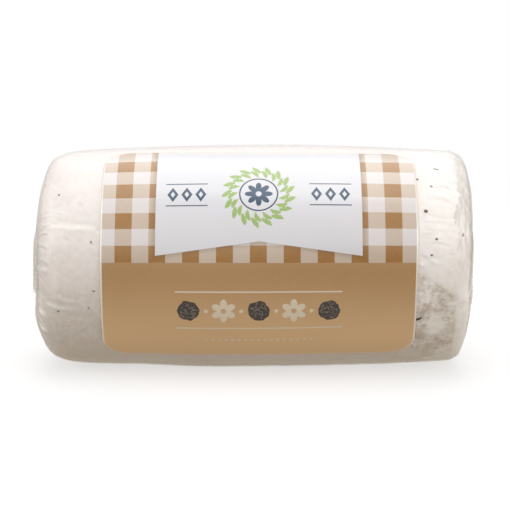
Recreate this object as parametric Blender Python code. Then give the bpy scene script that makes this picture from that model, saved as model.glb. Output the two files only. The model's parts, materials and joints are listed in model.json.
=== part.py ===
"""A soft goat cheese log in tight clear film, with one round-cornered label round its front.

Metres, +Z up, +X along the log, and the label on the -Y side. The log lies on a small flat, and the
origin is on the surface that it lies on, under the middle of its box.
"""

import math

import bmesh
import bpy

# Driving dimensions of the wrapped log
LENGTH = 0.0823
DIAMETER = 0.0426
BARREL = 0.064
FLAT_DEPTH = 0.00045

# Each end: how square its shoulder is, how round its face, and how far it spreads above and below
LEFT_END = {"side": -1, "squareness": 20.5, "roundness": 2.50, "spread_up": 0.0002, "spread_down": 0.0013}
RIGHT_END = {"side": 1, "squareness": 48.0, "roundness": 1.52, "spread_up": 0.0009, "spread_down": 0.0001}
SPREAD_LEVEL = -0.15

# Slow unevenness of the soft body: depth, waves round it, waves along it, phase
SWELLS = (
    (0.00021, 1, 1.2, -1.57),
    (0.00012, 3, -3.1, 2.1),
    (0.00008, 5, 4.3, 4.0),
)
# How far the middle of the underside sags
SAG = 0.00036
# A shallow hollow low on the front: its share along the half length, angle, reach and depth
HOLLOW_SHARE = -0.52
HOLLOW_ANGLE = -74.0
HOLLOW_REACH = 0.0080
HOLLOW_DEPTH = 0.00035

# The film's welded ends, folded down on the end faces, and its welded seam along the back
FLAP_WIDTH = 0.0300
FLAP_TOP = 0.0060
FLAP_BOTTOM = -0.0068
FLAP_CORNER = 0.0030
FLAP_PROUD_TOP = 0.00035
FLAP_PROUD_BOTTOM = 0.00070
SEAM_ANGLE = 176.0
SEAM_WIDTH = 0.0055
SEAM_REACH = 0.90
SEAM_CORNER = 0.0008
SEAM_PROUD = 0.00035
SUNK = 0.0004

# The label: its ends along the log, its lower and upper edge round it, corners, gap and thickness
LABEL_LEFT = -0.02735
LABEL_RIGHT = 0.0298
LABEL_BOTTOM_ANGLE = -49.5
LABEL_TOP_ANGLE = 73.5
LABEL_CORNER = 0.0045
LABEL_GAP = 0.0003
LABEL_THICKNESS = 0.0003

# Fineness of the faceted surfaces
STEPS_ROUND = 84
STEPS_ALONG = 30
STEPS_END = 9
SHOULDER_SHARE = 0.90
FLAP_GRID = (14, 8)
SEAM_GRID = (28, 4)
LABEL_GRID = (24, 30)
SHARP_ANGLE = 60.0
MERGE = 0.00002
ON_PLANE = 0.0000005
# Brings the middle of the box over the origin
DEPTH_SHIFT = -0.00005

HALF_LENGTH = LENGTH / 2
RADIUS = DIAMETER / 2
AXIS_HEIGHT = RADIUS - FLAT_DEPTH


def end_at(along):
    """The end whose numbers shape a place on this side of the middle."""
    return RIGHT_END if along > 0 else LEFT_END


def fullness(share, end):
    """How much of the full radius is left at a share of the half length."""
    return max(0.0, 1 - abs(share) ** end["squareness"]) ** (1 / end["roundness"])


def skin_radius(share):
    """Radius of the film at a share of the half length, from -1 to 1."""
    return RADIUS * fullness(share, end_at(share)) * (1 - BARREL * share * share)


def end_share(radius, end):
    """The share of the half length at which an end face has this radius."""
    full = min(1.0, radius / (RADIUS * (1 - BARREL)))
    return end["side"] * (1 - full ** end["roundness"]) ** (1 / end["squareness"])


def hollow(share, angle):
    """Depth of the soft round hollow at a place on the skin."""
    along = (share - HOLLOW_SHARE) * HALF_LENGTH
    around = math.remainder(angle - math.radians(HOLLOW_ANGLE), math.tau) * RADIUS
    return HOLLOW_DEPTH * math.exp(-(along * along + around * around) / HOLLOW_REACH ** 2)


def settled(along, across, up):
    """Move a point of the turned body to where the soft, uneven log has it."""
    share = along / HALF_LENGTH
    radius = math.hypot(across, up)
    angle = math.atan2(up, -across)
    swell = 0.0
    for depth, waves, runs, phase in SWELLS:
        swell += depth * math.sin(waves * angle + runs * share + phase)
    swell += SAG * (1 - share * share) * max(0.0, -math.sin(angle)) ** 2
    swell -= hollow(share, angle)
    swell *= min(1.0, radius / RADIUS) ** 2
    if radius > 0:
        across *= 1 + swell / radius
        up *= 1 + swell / radius
    end = end_at(along)
    height = up / RADIUS - SPREAD_LEVEL
    spread = end["spread_up"] * height if height > 0 else -end["spread_down"] * height
    return along + end["side"] * spread * share ** 4, across, up


def on_skin(share, angle, proud):
    """A point over the side of the log, proud of the film."""
    radius = skin_radius(share) + proud
    return settled(share * HALF_LENGTH, -radius * math.cos(angle), radius * math.sin(angle))


def on_end(across, up, end, proud):
    """A point over an end face, proud of the film."""
    along = end_share(math.hypot(across, up), end) * HALF_LENGTH + end["side"] * proud
    return settled(along, across, up)


def plastic(name, colour, roughness):
    """A plain material in the piece's own colour."""
    material = bpy.data.materials.new(name)
    material.use_nodes = True
    shader = material.node_tree.nodes["Principled BSDF"]
    shader.inputs["Base Color"].default_value = (*colour, 1.0)
    shader.inputs["Roughness"].default_value = roughness
    shader.inputs["Metallic"].default_value = 0.0
    return material


def mesh_object(bm, name, collection):
    """Turn a bmesh into a smooth object in a collection."""
    mesh = bpy.data.meshes.new(name)
    bm.to_mesh(mesh)
    bm.free()
    mesh.shade_smooth()
    piece = bpy.data.objects.new(name, mesh)
    collection.objects.link(piece)
    return piece


def log_profile():
    """Half outline of the log, from the tip of the left end to the tip of the right."""
    left_rim = skin_radius(-SHOULDER_SHARE)
    right_rim = skin_radius(SHOULDER_SHARE)
    left_face = []
    right_face = []
    for step in range(STEPS_END):
        part = math.sin(step / STEPS_END * math.pi / 2)
        left_face.append((end_share(left_rim * part, LEFT_END), left_rim * part))
        right_face.append((end_share(right_rim * part, RIGHT_END), right_rim * part))
    sides = []
    for step in range(STEPS_ALONG + 1):
        share = SHOULDER_SHARE * (2 * step / STEPS_ALONG - 1)
        sides.append((share, skin_radius(share)))
    return left_face + sides + right_face[::-1]


def turned_log(collection):
    """The log, turned from its half outline and settled into its uneven form."""
    bm = bmesh.new()
    previous = None
    for share, radius in log_profile():
        vert = bm.verts.new((share * HALF_LENGTH, 0.0, radius))
        if previous is not None:
            bm.edges.new((previous, vert))
        previous = vert
    bmesh.ops.spin(
        bm, geom=bm.verts[:] + bm.edges[:], cent=(0, 0, 0), axis=(1, 0, 0),
        angle=math.tau, steps=STEPS_ROUND, use_merge=True,
    )
    bmesh.ops.remove_doubles(bm, verts=bm.verts, dist=MERGE)
    for vert in bm.verts:
        vert.co = settled(*vert.co)
    bmesh.ops.recalc_face_normals(bm, faces=bm.faces)
    return mesh_object(bm, "wrapped_log", collection)


def rounded_sheet(width, height, corner, columns, rows):
    """A flat grid with round corners, centred on the origin of its own plane."""
    bm = bmesh.new()
    bmesh.ops.create_grid(bm, x_segments=columns, y_segments=rows, size=0.5)
    straight = height / 2 - corner
    for vert in bm.verts:
        level = math.sin(math.pi * vert.co.y) * height / 2
        into = max(0.0, abs(level) - straight)
        short = corner - math.sqrt(max(0.0, corner * corner - into * into))
        vert.co = (vert.co.x * (width - 2 * short), level, 0.0)
    return bm


def thicken(bm, inner, outer):
    """Give a flat sheet two faces, each laid by its own function of a place on the sheet."""
    flat = bmesh.ops.extrude_face_region(bm, geom=bm.faces[:])
    lifted = {item for item in flat["geom"] if isinstance(item, bmesh.types.BMVert)}
    for vert in bm.verts:
        lay = outer if vert in lifted else inner
        vert.co = lay(vert.co.x, vert.co.y)
    bmesh.ops.recalc_face_normals(bm, faces=bm.faces)


def end_flap(end, collection):
    """The film's welded end, folded down over an end face."""
    height = FLAP_TOP - FLAP_BOTTOM
    middle = (FLAP_TOP + FLAP_BOTTOM) / 2

    def lay(across, level, proud):
        return on_end(across, middle + level, end, proud)

    def outer(across, level):
        down = 0.5 - level / height
        return lay(across, level, FLAP_PROUD_TOP + (FLAP_PROUD_BOTTOM - FLAP_PROUD_TOP) * down)

    bm = rounded_sheet(FLAP_WIDTH, height, FLAP_CORNER, *FLAP_GRID)
    thicken(bm, lambda across, level: lay(across, level, -SUNK), outer)
    return mesh_object(bm, "end_flap", collection)


def back_seam(collection):
    """The welded seam of the film, pressed flat along the back."""
    middle = math.radians(SEAM_ANGLE)

    def lay(along, level, proud):
        return on_skin(along / HALF_LENGTH, middle + level / RADIUS, proud)

    bm = rounded_sheet(2 * SEAM_REACH * HALF_LENGTH, SEAM_WIDTH, SEAM_CORNER, *SEAM_GRID)
    thicken(
        bm,
        lambda along, level: lay(along, level, -SUNK),
        lambda along, level: lay(along, level, SEAM_PROUD),
    )
    return mesh_object(bm, "back_seam", collection)


def join_to(body, raised):
    """Fuse the raised parts of the film with the log, and remove their own objects."""
    union = body.modifiers.new("fuse", "BOOLEAN")
    union.operation = "UNION"
    union.solver = "EXACT"
    union.operand_type = "COLLECTION"
    union.collection = raised
    bpy.context.view_layer.update()
    graph = bpy.context.evaluated_depsgraph_get()
    fused = bpy.data.meshes.new_from_object(body.evaluated_get(graph))
    body.modifiers.clear()
    body.data = fused
    for piece in list(raised.objects):
        bpy.data.objects.remove(piece, do_unlink=True)
    bpy.data.collections.remove(raised)


def cut_rest(body):
    """Cut the flat on which the log lies."""
    bm = bmesh.new()
    bm.from_mesh(body.data)
    floor = (0.0, 0.0, FLAT_DEPTH - RADIUS)
    bmesh.ops.bisect_plane(
        bm, geom=bm.verts[:] + bm.edges[:] + bm.faces[:], dist=ON_PLANE,
        plane_co=floor, plane_no=(0, 0, -1), clear_outer=True,
    )
    rim = [edge for edge in bm.edges if edge.is_boundary]
    bmesh.ops.contextual_create(bm, geom=rim)
    bmesh.ops.recalc_face_normals(bm, faces=bm.faces)
    bm.to_mesh(body.data)
    bm.free()
    body.data.shade_smooth()
    body.data.set_sharp_from_angle(angle=math.radians(SHARP_ANGLE))


def front_label(collection):
    """The label, a thin sheet wrapped over the front and the top of the log."""
    bottom = math.radians(LABEL_BOTTOM_ANGLE)
    top = math.radians(LABEL_TOP_ANGLE)
    centre = (LABEL_LEFT + LABEL_RIGHT) / 2
    middle = (bottom + top) / 2

    def lay(along, level, proud):
        return on_skin((centre + along) / HALF_LENGTH, middle + level / RADIUS, proud)

    bm = rounded_sheet(LABEL_RIGHT - LABEL_LEFT, (top - bottom) * RADIUS, LABEL_CORNER, *LABEL_GRID)
    thicken(
        bm,
        lambda along, level: lay(along, level, LABEL_GAP),
        lambda along, level: lay(along, level, LABEL_GAP + LABEL_THICKNESS),
    )
    return mesh_object(bm, "front_label", collection)


def build():
    """Build the log and its label in a collection of their own."""
    for existing in list(bpy.data.objects):
        bpy.data.objects.remove(existing, do_unlink=True)
    scene = bpy.context.scene
    collection = bpy.data.collections.new("goat_cheese_log")
    scene.collection.children.link(collection)
    raised = bpy.data.collections.new("raised_film")
    scene.collection.children.link(raised)

    body = turned_log(collection)
    end_flap(LEFT_END, raised)
    end_flap(RIGHT_END, raised)
    back_seam(raised)
    join_to(body, raised)
    cut_rest(body)
    label = front_label(collection)
    body.data.materials.append(plastic("film_over_cheese", (0.79, 0.75, 0.69), 0.30))
    label.data.materials.append(plastic("printed_label", (0.42, 0.27, 0.12), 0.45))

    base = bpy.data.objects.new("goat_cheese_log_base", None)
    collection.objects.link(base)
    for piece in (body, label):
        piece.parent = base
        piece.location = (0.0, DEPTH_SHIFT, AXIS_HEIGHT)


build()
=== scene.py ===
# %% [markdown]
# A goat cheese log in clear film
#
# The object is a small log of soft fresh cheese with flecks of truffle. A clear film lies tight on
# it, and a printed label is stuck round its front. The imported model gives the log's true size and
# place. This script leaves that frame alone and dresses it: it makes the cheese, the flecks, the
# film, its welds and the label as fine meshes, each with a finish of its own, and then sets up the
# light and the camera.
#
# Every length is in metres, +X runs along the log, and the label faces -Y.

# %% The frame
import json
import math
import random

import bmesh
import bpy
import numpy as np
from mathutils import Matrix, Vector

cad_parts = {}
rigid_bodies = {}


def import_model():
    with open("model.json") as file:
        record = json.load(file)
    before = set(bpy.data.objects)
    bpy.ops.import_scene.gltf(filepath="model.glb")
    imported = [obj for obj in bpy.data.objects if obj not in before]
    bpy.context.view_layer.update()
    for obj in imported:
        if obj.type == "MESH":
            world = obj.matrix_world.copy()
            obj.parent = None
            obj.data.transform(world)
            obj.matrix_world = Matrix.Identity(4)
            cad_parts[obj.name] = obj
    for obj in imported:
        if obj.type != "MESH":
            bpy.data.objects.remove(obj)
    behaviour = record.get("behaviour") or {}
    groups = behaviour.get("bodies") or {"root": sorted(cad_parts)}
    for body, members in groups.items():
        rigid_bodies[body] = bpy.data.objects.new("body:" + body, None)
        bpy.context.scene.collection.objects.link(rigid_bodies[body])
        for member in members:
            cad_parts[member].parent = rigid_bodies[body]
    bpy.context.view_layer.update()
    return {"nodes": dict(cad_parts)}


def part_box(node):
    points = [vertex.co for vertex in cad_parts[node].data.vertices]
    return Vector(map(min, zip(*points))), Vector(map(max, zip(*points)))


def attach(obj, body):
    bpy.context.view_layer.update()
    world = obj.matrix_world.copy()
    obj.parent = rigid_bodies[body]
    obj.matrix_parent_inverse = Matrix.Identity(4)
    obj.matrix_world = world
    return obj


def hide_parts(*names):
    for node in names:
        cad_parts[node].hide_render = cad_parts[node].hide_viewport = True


for leftover in list(bpy.data.objects):
    bpy.data.objects.remove(leftover, do_unlink=True)
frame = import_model()
log_low, log_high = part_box("wrapped_log")
label_low, label_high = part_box("front_label")
print("nodes:", sorted(frame["nodes"]))
print("log:", [round(high - low, 4) for low, high in zip(log_low, log_high)], "m")
print("label:", [round(high - low, 4) for low, high in zip(label_low, label_high)], "m")

# %% [markdown]
# The camera
#
# The photograph shows the log from just above its middle, through a long lens. How much the label's
# columns draw together towards its edges says how far away the camera stood. The camera could be
# placed by eye, but a distance and a scale in pixels per metre give its lens by one formula, so a
# change of either keeps the log the same size in the picture.

# %% Camera
MM = 0.001
PICTURE_PIXELS = 510
PIXELS_PER_METRE = 5163.0
CAMERA_DISTANCE = 0.311
CAMERA_ELEVATION = math.radians(8.0)
CAMERA_AIM = Vector((0.43 * MM, 0.0, 20.93 * MM))
SENSOR = 36.0

camera_data = bpy.data.cameras.new("camera")
camera_data.sensor_width = SENSOR
camera_data.lens = SENSOR * CAMERA_DISTANCE * PIXELS_PER_METRE / PICTURE_PIXELS
camera_data.clip_start = 0.01
camera = bpy.data.objects.new("camera", camera_data)
bpy.context.scene.collection.objects.link(camera)
away = Vector((0.0, -math.cos(CAMERA_ELEVATION), math.sin(CAMERA_ELEVATION)))
camera.location = CAMERA_AIM + away * CAMERA_DISTANCE
camera.rotation_euler = (math.pi / 2 - CAMERA_ELEVATION, 0.0, 0.0)
bpy.context.scene.camera = camera
print("lens:", round(camera_data.lens, 1), "mm")

# %% [markdown]
# Shader arithmetic
#
# A finish is a graph of nodes, and most of its nodes only add, multiply or compare values. Written
# out node by node, such a graph hides the idea behind it. So one small class wraps a socket and
# overloads Python's operators: an expression on two values adds the Math node that works it out.

# %% Values
class Value:
    """One socket of a shader graph that can be used in arithmetic."""

    def __init__(self, finish, socket):
        self.finish = finish
        self.socket = socket

    def math(self, operation, *others):
        """A Math node on this value and others."""
        return self.finish.add("ShaderNodeMath", {"operation": operation}, self, *others)

    def __add__(self, other):
        return self.math("ADD", other)

    def __radd__(self, other):
        return self.math("ADD", other)

    def __sub__(self, other):
        return self.math("SUBTRACT", other)

    def __rsub__(self, other):
        return (self * -1) + other

    def __mul__(self, other):
        return self.math("MULTIPLY", other)

    def __rmul__(self, other):
        return self.math("MULTIPLY", other)

    def __truediv__(self, other):
        return self.math("DIVIDE", other)

    def __pow__(self, other):
        return self.math("POWER", other)

    def __neg__(self):
        return self * -1

    def __abs__(self):
        return self.math("ABSOLUTE")

    def __mod__(self, other):
        return self.math("FLOORED_MODULO", other)

    def most(self, other):
        """The larger of two values."""
        return self.math("MAXIMUM", other)

    def rise(self, low, high):
        """0 below low, 1 above high, with a smooth slope between. It falls where low is the larger."""
        ends = (low, high, 0.0, 1.0)
        if low > high:
            ends = (high, low, 1.0, 0.0)
        return self.finish.add(
            "ShaderNodeMapRange", {"interpolation_type": "SMOOTHSTEP", "clamp": True}, self, *ends)


# %% [markdown]
# The second class holds a whole graph, a material's or the world's. Its one method `add` makes
# every node that isn't arithmetic: it takes the node's type, its settings, which come first because
# they can change its sockets, and then its inputs, by order, by place or by name. The methods after
# it are short names for the nodes that the finishes use most.

# %% Finishes
class Finish:
    """The node graph of a material or of the world, with a method that adds any node."""

    def __init__(self, owner, output="ShaderNodeOutputMaterial"):
        self.owner = owner
        owner.use_nodes = True
        self.tree = owner.node_tree
        self.tree.nodes.clear()
        self.output = self.tree.nodes.new(output)

    def add(self, kind, settings, *inputs, out=0, at=None, **named):
        """Add a node: its settings, then its inputs in order, by place or by name. Return one output."""
        node = self.tree.nodes.new(kind)
        for key, setting in settings.items():
            setattr(node, key, setting)
        sockets = {**dict(enumerate(inputs)), **(at or {})}
        sockets.update((name.replace("_", " "), value) for name, value in named.items())
        for key, value in sockets.items():
            self.feed(node.inputs[key], value)
        return Value(self, node.outputs[out])

    def feed(self, socket, value):
        """Link a value to a socket, or set the socket's own number, colour or vector."""
        if isinstance(value, Value):
            self.tree.links.new(value.socket, socket)
        elif isinstance(value, tuple) and len(value) == 3 and socket.type == "RGBA":
            socket.default_value = (*value, 1.0)
        else:
            socket.default_value = value

    def parts(self, vector):
        """The three parts of a vector."""
        part = self.add("ShaderNodeSeparateXYZ", {}, vector)
        return tuple(Value(self, socket) for socket in part.socket.node.outputs)

    def place(self):
        """The place on the object, in metres."""
        return self.add("ShaderNodeTexCoord", {}, out="Object")

    def noise(self, vector, scale, detail=3.0, roughness=0.5, stretch=None):
        """Fractal noise from 0 to 1, at a scale in features per metre."""
        if stretch is not None:
            vector = self.add("ShaderNodeVectorMath", {"operation": "MULTIPLY"}, vector, stretch)
        return self.add("ShaderNodeTexNoise", {"noise_dimensions": "3D"}, Vector=vector,
                        Scale=scale, Detail=detail, Roughness=roughness)

    def mix(self, factor, first, second):
        """Blend two colours. A Mix node keeps its colours at inputs 6 and 7 and at output 2."""
        return self.add("ShaderNodeMix", {"data_type": "RGBA"}, out=2,
                        at={0: factor, 6: first, 7: second})

    def bump(self, height, distance, strength=1.0):
        """A bumped normal from a height that is given as a share of a distance in metres."""
        return self.add("ShaderNodeBump", {}, Height=height, Distance=distance, Strength=strength)

    def surface(self, shader):
        """Use a shader as the surface, and return the material or the world."""
        self.feed(self.output.inputs["Surface"], shader)
        print(self.owner.name, "finish:", len(self.tree.nodes), "nodes")
        return self.owner


def away_from(x, y):
    """Distance from a point whose offsets are given."""
    return (x * x + y * y) ** 0.5


# %% [markdown]
# Light and floor
#
# The photograph's light is soft and comes from overhead: the top of the log is almost white and the
# shade deepens evenly to its underside. One big lamp could give the slope, but not the sheen on the
# label, which ends at a line. So the light is a few soft boxes. The one above gives the slope, and
# its lower front edge is where the sheen ends. A dimmer one behind it carries the sheen over the
# top, a wide faint one in front lifts the log's face, and one at each side lights its ends.

# %% Soft boxes
LIGHT_AIM = Vector((0.0, 0.0, 0.03))
# Each soft box: name, direction in degrees (0 in front, 90 overhead), distance, how far to the side,
# sizes and radiance
SOFT_BOXES = (
    ("key_light", 95.0, 0.50, 0.0, (0.34, 0.56), 2.20),
    ("back_light", 131.0, 0.78, 0.0, (0.90, 0.62), 0.50),
    ("front_light", 37.0, 0.85, 0.05, (3.20, 0.80), 0.67),
    ("left_light", 62.0, 0.24, -0.62, (0.45, 0.45), 2.30),
    ("right_light", 35.0, 0.16, 0.62, (0.40, 0.22), 3.80),
)

for name, direction, reach, aside, size, radiance in SOFT_BOXES:
    box_light = bpy.data.lights.new(name, "AREA")
    box_light.shape = "RECTANGLE"
    box_light.size, box_light.size_y = size
    box_light.energy = radiance * math.pi * size[0] * size[1]
    soft_box = bpy.data.objects.new(name, box_light)
    tilt = math.radians(direction)
    soft_box.location = LIGHT_AIM + Vector((aside, -reach * math.cos(tilt), reach * math.sin(tilt)))
    soft_box.rotation_euler = (LIGHT_AIM - soft_box.location).to_track_quat("-Z", "Y").to_euler()
    bpy.context.scene.collection.objects.link(soft_box)
    print(name, round(box_light.energy, 2), "W")

# %% [markdown]
# The world fills the shade evenly. The camera sees plain white there, so the background of the
# picture doesn't depend on how strong the fill is.

# %% The world
FILL_LEVEL = 0.57
FILL_COLOUR = (1.0, 0.99, 0.985)
WHITE = (1.0, 1.0, 1.0)

sky = Finish(bpy.data.worlds.new("world"), "ShaderNodeOutputWorld")
fill = sky.add("ShaderNodeBackground", {}, FILL_COLOUR, FILL_LEVEL)
far_white = sky.add("ShaderNodeBackground", {}, WHITE, 1.0)
camera_ray = sky.add("ShaderNodeLightPath", {}, out="Is Camera Ray")
bpy.context.scene.world = sky.surface(sky.add("ShaderNodeMixShader", {}, camera_ray, fill, far_white))
bpy.context.scene.view_settings.view_transform = "Standard"

# %% [markdown]
# The floor could be one white sheet, but its bounce would be too strong on the log's sides and
# missing under it. So it is a light table: it glows evenly and warmly on the log's underside. The
# camera sees pale paper with a soft shadow, mixed with a white glow that is painted light: more
# than half glow even beside the log, where it lifts the shadow, and all glow in the white distance.

# %% Floor
FLOOR_REACH = 6.0
FLOOR_SEEN = (0.90, 0.895, 0.885)
TABLE_GLOW = (0.43, 0.38, 0.315)
# Share of white glow in the paper beside the log: painted light that lifts its shadow.
PAPER_GLOW_SHARE = 0.58
WHITE_FROM, WHITE_FULL = 0.10, 0.45


def mesh_from(name, bm):
    """A mesh with what a bmesh holds, which is freed."""
    mesh = bpy.data.meshes.new(name)
    bm.to_mesh(mesh)
    bm.free()
    return mesh


def floor_finish():
    """Pale paper with a painted white glow that lifts its shadow near the log, plain white far off, and
    a glow for all but the camera.
    """
    finish = Finish(bpy.data.materials.new("pale_floor"))
    across, deep, _ = finish.parts(finish.place())
    far = away_from(across, deep).rise(WHITE_FROM, WHITE_FULL)
    # Painted light: a white glow mixed into the paper, which lifts its shadow near the log.
    glow_share = far * (1 - PAPER_GLOW_SHARE) + PAPER_GLOW_SHARE
    paper = finish.add("ShaderNodeBsdfDiffuse", {}, Color=FLOOR_SEEN)
    white = finish.add("ShaderNodeEmission", {}, Color=WHITE)
    seen_floor = finish.add("ShaderNodeMixShader", {}, glow_share, paper, white)
    glow = finish.add("ShaderNodeEmission", {}, Color=TABLE_GLOW)
    by_camera = finish.add("ShaderNodeLightPath", {}, out="Is Camera Ray")
    return finish.surface(finish.add("ShaderNodeMixShader", {}, by_camera, glow, seen_floor))


floor_bm = bmesh.new()
bmesh.ops.create_grid(floor_bm, x_segments=1, y_segments=1, size=FLOOR_REACH)
floor_mesh = mesh_from("floor", floor_bm)
floor_mesh.materials.append(floor_finish())
floor = bpy.data.objects.new("floor", floor_mesh)
bpy.context.scene.collection.objects.link(floor)
print("floor:", 2 * FLOOR_REACH, "m square")

# %% [markdown]
# The form of the log
#
# A soft log is almost a turned shape: square shoulders, a slight barrel and domed ends. The CAD
# solid is made that way, from a few sizes, and the fine meshes here repeat those sizes. An end's
# squareness says how sharply its shoulder turns, and its roundness how much its face domes.

# %% Sizes of the form
HALF_LENGTH = 41.15 * MM
RADIUS = 21.3 * MM
BARREL = 0.064
FLAT_DEPTH = 0.45 * MM
DEPTH_SHIFT = -0.05 * MM
AXIS_HEIGHT = RADIUS - FLAT_DEPTH
LEFT_END = {"side": -1, "squareness": 20.5, "roundness": 2.50,
            "spread_up": 0.0, "spread_down": 1.3 * MM}
RIGHT_END = {"side": 1, "squareness": 48.0, "roundness": 1.52,
             "spread_up": 0.9 * MM, "spread_down": 0.6 * MM}
SHOULDER_SHARE = 0.90


def end_radius(share, end):
    """Radius of the plain turned log at a share of its half length."""
    full = (1 - abs(share) ** end["squareness"]) ** (1 / end["roundness"])
    return RADIUS * full * (1 - BARREL * share * share)


def end_share(radius, end):
    """The share of the half length at which an end face has this radius."""
    full = min(1.0, radius / (RADIUS * (1 - BARREL)))
    return end["side"] * (1 - full ** end["roundness"]) ** (1 / end["squareness"])


print("log:", round(2 * HALF_LENGTH / MM, 1), "mm long,", round(2 * RADIUS / MM, 1), "mm thick")

# %% [markdown]
# The settled log
#
# A soft log doesn't stay a turned shape. Its own weight makes it sag, spread at the ends and settle
# on a narrow flat, and hands and boxes leave slow swells and a hollow. All of that could be
# sculpted in each skin, but then the skins would part. So one function, `settled`, moves any point
# of a plain turned log to its place on the uneven one, and the film, the cheese under it and the
# label over it all follow one surface, each at its own depth. The CAD has the same sag, spread,
# swells and hollow. The rolls are added here: the paste bulges a little across the ends, which
# squares the photographed outline.

# %% Settling
SPREAD_LEVEL = -0.15
# Rolls of paste across the ends, under each weld and at the left end's top: which end, how far above the
# axis, its reach and its depth
ROLLS = (
    (LEFT_END, -10.8 * MM, 3.4 * MM, 0.52 * MM), (RIGHT_END, -9.0 * MM, 3.2 * MM, 0.40 * MM),
    (LEFT_END, 19.6 * MM, 2.6 * MM, 0.85 * MM),
)
SWELLS = ((0.21 * MM, 1, 1.2, -1.57), (0.12 * MM, 3, -3.1, 2.1), (0.08 * MM, 5, 4.3, 4.0))
SAG = 0.36 * MM
HOLLOW_SHARE, HOLLOW_ANGLE = -0.52, math.radians(-74.0)
HOLLOW_REACH, HOLLOW_DEPTH = 8.0 * MM, 0.35 * MM
TINY = 1e-9


def turn_of(across, up):
    """The angle round the log: 0 in front, a quarter turn at the top."""
    return np.arctan2(up, -across)


def nearest_turn(angle):
    """The same angle between minus and plus half a turn."""
    return np.mod(angle + math.pi, math.tau) - math.pi


def settled(points):
    """Move points of the plain turned log, one to a row, to where the soft log has them."""
    along, across, up = points.T
    share = along / HALF_LENGTH
    radius = np.hypot(across, up)
    angle = turn_of(across, up)
    swell = SAG * (1 - share ** 2) * np.clip(-np.sin(angle), 0, None) ** 2
    for depth, waves, runs, phase in SWELLS:
        swell += depth * np.sin(waves * angle + runs * share + phase)
    far = ((share - HOLLOW_SHARE) * HALF_LENGTH) ** 2
    far += (nearest_turn(angle - HOLLOW_ANGLE) * RADIUS) ** 2
    swell -= HOLLOW_DEPTH * np.exp(-far / HOLLOW_REACH ** 2)
    swell *= np.clip(radius / RADIUS, 0, 1) ** 2
    grow = 1 + swell / np.maximum(radius, TINY)
    height = up * grow / RADIUS - SPREAD_LEVEL
    right = along > 0
    rise = np.where(right, RIGHT_END["spread_up"], LEFT_END["spread_up"])
    fall = np.where(right, RIGHT_END["spread_down"], LEFT_END["spread_down"])
    spread = np.where(height > 0, rise * height, -fall * height) * share ** 4
    for end, level, reach, depth in ROLLS:
        roll = depth * np.exp(-((up - level) / reach) ** 2)
        spread += (end["side"] * along > 0) * roll * share ** 8
    return np.column_stack((along + np.sign(along) * spread, across * grow, up * grow))


# %% [markdown]
# The label, the welds and the flecks are laid on the log. Each of their points is given by a place on
# the log's side or on an end face and a height off the film, and these two functions put it there.

# %% Points over the log
def over_side(along, angle, proud):
    """Points over the side of the log, proud of the film, in the log's own axes."""
    share = along / HALF_LENGTH
    radius = np.array([end_radius(one, RIGHT_END if one > 0 else LEFT_END) for one in share]) + proud
    return settled(np.column_stack((along, -radius * np.cos(angle), radius * np.sin(angle))))


def over_end(across, up, end, proud):
    """Points over an end face, proud of the film, in the log's own axes."""
    share = np.array([end_share(one, end) for one in np.hypot(across, up)])
    return settled(np.column_stack((share * HALF_LENGTH + end["side"] * proud, across, up)))


# %% [markdown]
# Meshes
#
# A mesh of a hundred thousand points is slow to bend one point at a time. So its points are read
# into one numpy table, moved all together and written back. A vertex's normal is the way in which
# relief pushes it.

# %% Points of a mesh
def read_points(mesh):
    """A mesh's points, one to a row."""
    points = np.zeros(len(mesh.vertices) * 3)
    mesh.vertices.foreach_get("co", points)
    return points.reshape(-1, 3)


def write_points(mesh, points):
    """Give a mesh new points."""
    mesh.vertices.foreach_set("co", np.ascontiguousarray(points, dtype=np.float64).ravel())
    mesh.update()


def normals_of(mesh):
    """A mesh's vertex normals, one to a row."""
    normals = np.zeros(len(mesh.vertices) * 3, dtype=np.float32)
    mesh.vertex_normals.foreach_get("vector", normals)
    return normals.reshape(-1, 3).astype(float)


def to_floor(points, clear=0.0):
    """Lift points from the log's own axes to its place on the floor, and press them flat under it."""
    lifted = points + np.array([0.0, DEPTH_SHIFT, AXIS_HEIGHT])
    lifted[:, 2] = np.maximum(lifted[:, 2], clear)
    return lifted


def shown(name, mesh, body="root"):
    """A smooth object from a mesh, riding on the log's body."""
    mesh.shade_smooth()
    piece = bpy.data.objects.new(name, mesh)
    bpy.context.scene.collection.objects.link(piece)
    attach(piece, body)
    print(name, len(mesh.polygons), "faces")
    return piece


# %% [markdown]
# The film and the cheese are both turned shapes, so both start as a half outline that bmesh spins
# about the log's axis. Its points are even along the sides and close up at the shoulders, where the
# outline bends. The rings' points are then drawn together towards the front, where the camera and
# the fine creases are.

# %% Turned skins
FRONT_ANGLE = math.radians(18.0)
DRAWN_IN = 0.42


def half_outline(side_steps, end_steps):
    """Half outline of the plain turned log, from the tip of its left end to that of its right."""
    faces = []
    for end in (LEFT_END, RIGHT_END):
        last = math.acos(SHOULDER_SHARE ** (end["squareness"] / 2))
        face = []
        for step in range(end_steps):
            share = math.cos(last * step / end_steps) ** (2 / end["squareness"])
            face.append((end["side"] * share * HALF_LENGTH, end_radius(share, end)))
        faces.append(face)
    shares = SHOULDER_SHARE * np.linspace(-1, 1, side_steps + 1)
    shares = shares * (1 + 0.35 * (1 - shares ** 2 / SHOULDER_SHARE ** 2))
    side = [(share * HALF_LENGTH, end_radius(share, RIGHT_END if share > 0 else LEFT_END))
            for share in shares]
    return faces[0] + side + faces[1][::-1]


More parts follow.
